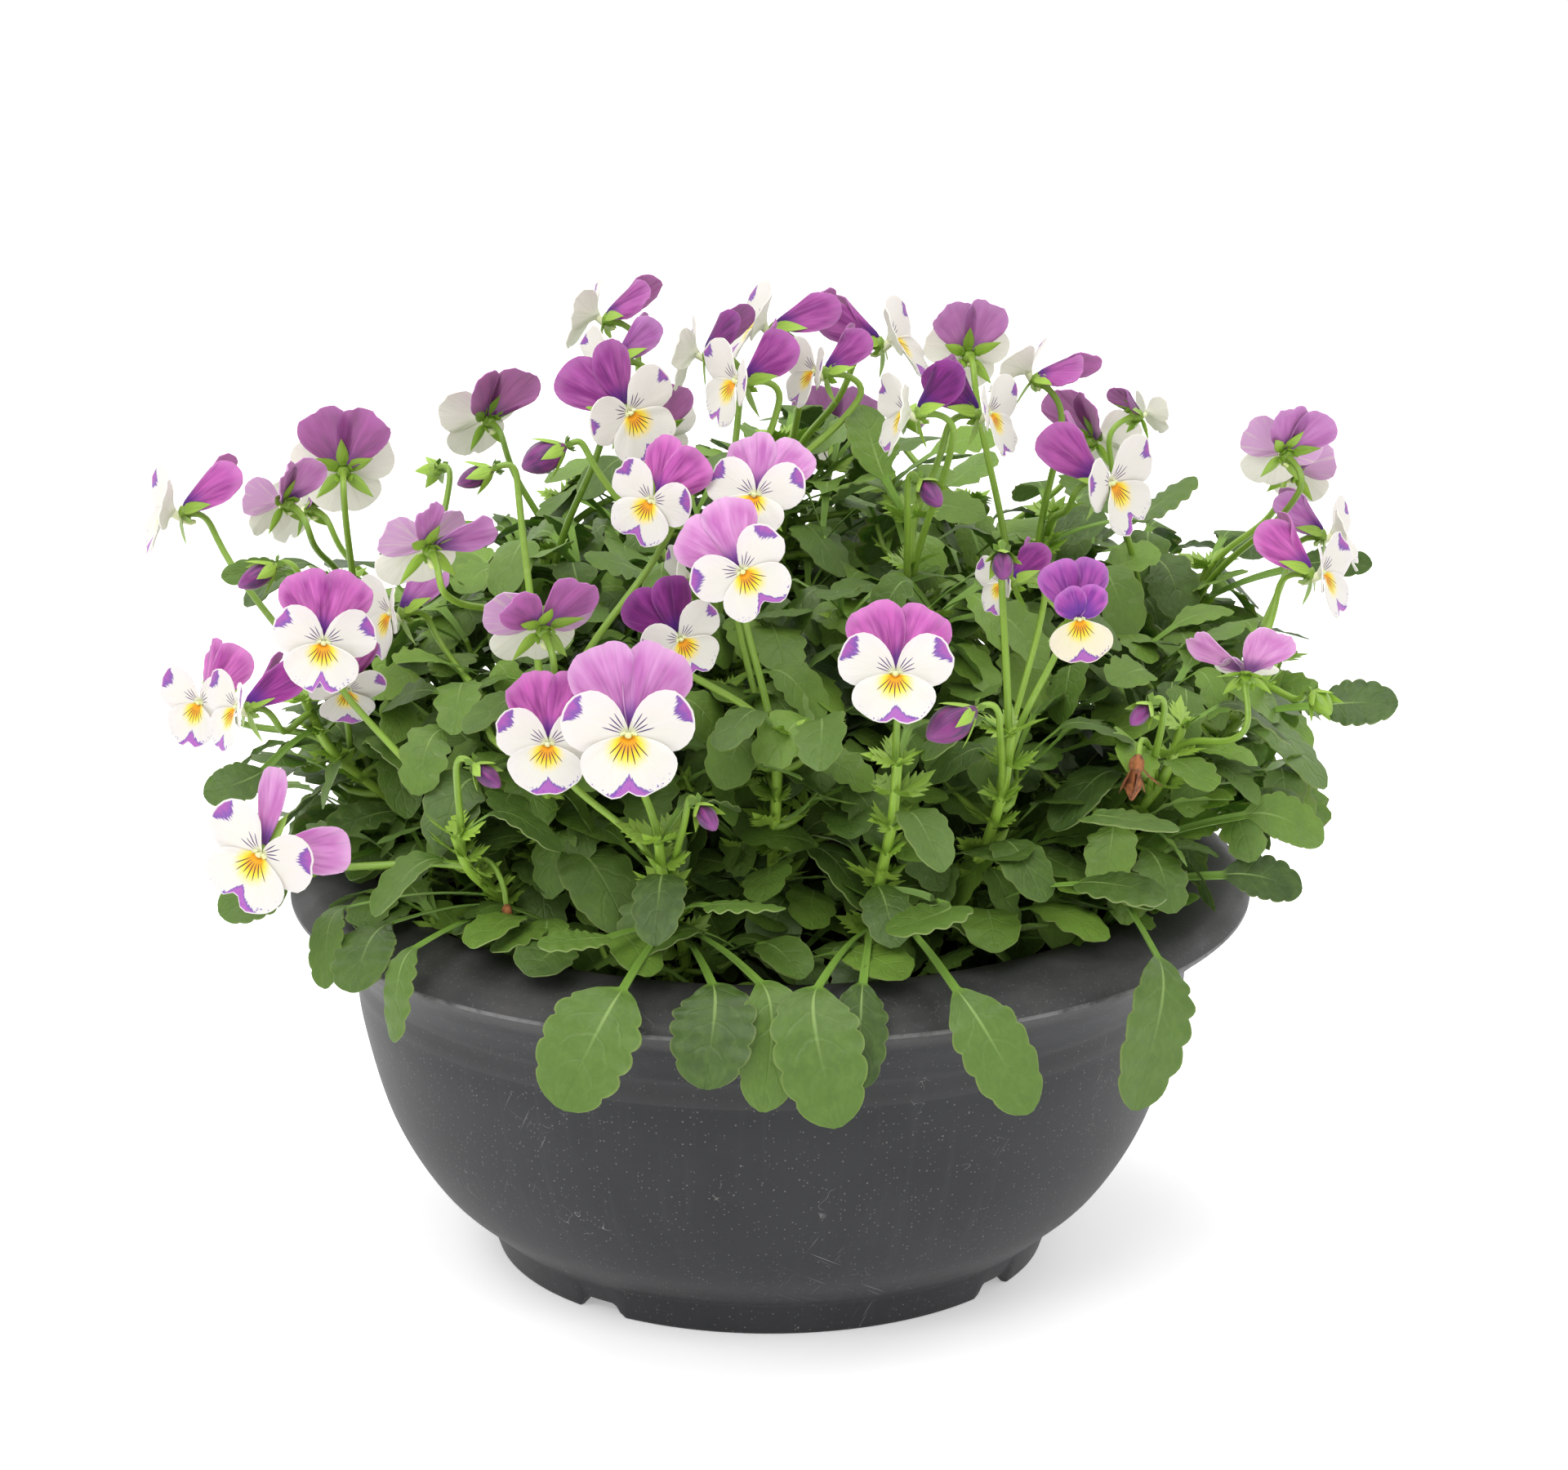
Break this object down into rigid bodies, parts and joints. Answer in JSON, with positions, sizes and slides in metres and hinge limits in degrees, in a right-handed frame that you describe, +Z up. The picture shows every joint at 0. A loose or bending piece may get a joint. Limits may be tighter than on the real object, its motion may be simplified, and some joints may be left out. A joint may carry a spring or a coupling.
{
  "type": "potted horned pansy in a planter bowl",
  "caption": "Low round planter bowl with a crowned collar, filled with soil and planted with a dome of toothed leaves and two-tone five-petalled pansies on hooked stalks.",
  "frame": {"origin": "on the ground, under the middle of the bowl", "axes": "+Z up, -Y the side that the plant's best blooms face, +X to its right"},
  "size_m": [0.3437, 0.3023, 0.2755],
  "materials": {
    "bowl_plastic": "satin, speckled recycled plastic",
    "soil": "rough, crumbly peat",
    "foliage": "matt leaf with a soft sheen",
    "petal_purple": "soft matt petal, white and purple with a yellow eye",
    "petal_orchid": "soft matt petal, white and pale orchid with a yellow eye",
    "petal_dark": "soft matt petal, white and dark magenta with a yellow eye",
    "petal_cream": "soft matt petal, cream and purple with a yellow eye"
  },
  "bodies": {
    "root": {"bloom_01_purple": "petal_purple", "bloom_02_orchid": "petal_orchid", "bloom_03_purple": "petal_purple", "bloom_04_dark": "petal_dark", "bloom_05_purple": "petal_purple", "bloom_06_purple": "petal_purple", "bloom_07_purple": "petal_purple", "bloom_08_purple": "petal_purple", "bloom_09_orchid": "petal_orchid", "bloom_10_purple": "petal_purple", "bloom_11_dark": "petal_dark", "bloom_12_dark": "petal_dark", "bloom_13_purple": "petal_purple", "bloom_14_dark": "petal_dark", "bloom_15_orchid": "petal_orchid", "bloom_16_orchid": "petal_orchid", "bloom_17_orchid": "petal_orchid", "bloom_18_purple": "petal_purple", "bloom_19_orchid": "petal_orchid", "bloom_20_cream": "petal_cream", "bloom_21_dark": "petal_dark", "bloom_22_purple": "petal_purple", "bloom_23_orchid": "petal_orchid", "bloom_24_orchid": "petal_orchid", "bloom_25_purple": "petal_purple", "bloom_26_dark": "petal_dark", "bloom_27_orchid": "petal_orchid", "bloom_28_purple": "petal_purple", "bloom_29_orchid": "petal_orchid", "bloom_30_purple": "petal_purple", "bloom_31_purple": "petal_purple", "bloom_32_orchid": "petal_orchid", "bloom_33_purple": "petal_purple", "bloom_34_dark": "petal_dark", "bloom_35_purple": "petal_purple", "bloom_36_purple": "petal_purple", "bloom_37_purple": "petal_purple", "bloom_38_orchid": "petal_orchid", "bloom_39_dark": "petal_dark", "bloom_40_orchid": "petal_orchid", "bloom_41_purple": "petal_purple", "bloom_42_orchid": "petal_orchid", "bloom_43_purple": "petal_purple", "bloom_44_purple": "petal_purple", "bloom_45_orchid": "petal_orchid", "bowl": "bowl_plastic", "soil": "soil", "stem_back": "foliage", "stem_back_left": "foliage", "stem_back_right": "foliage", "stem_front": "foliage", "stem_front_left": "foliage", "stem_front_right": "foliage", "stem_heart": "foliage", "stem_heart_left": "foliage", "stem_left": "foliage", "stem_left_front": "foliage", "stem_middle_right": "foliage", "stem_right": "foliage", "stem_right_front": "foliage"}
  },
  "joints": []
}
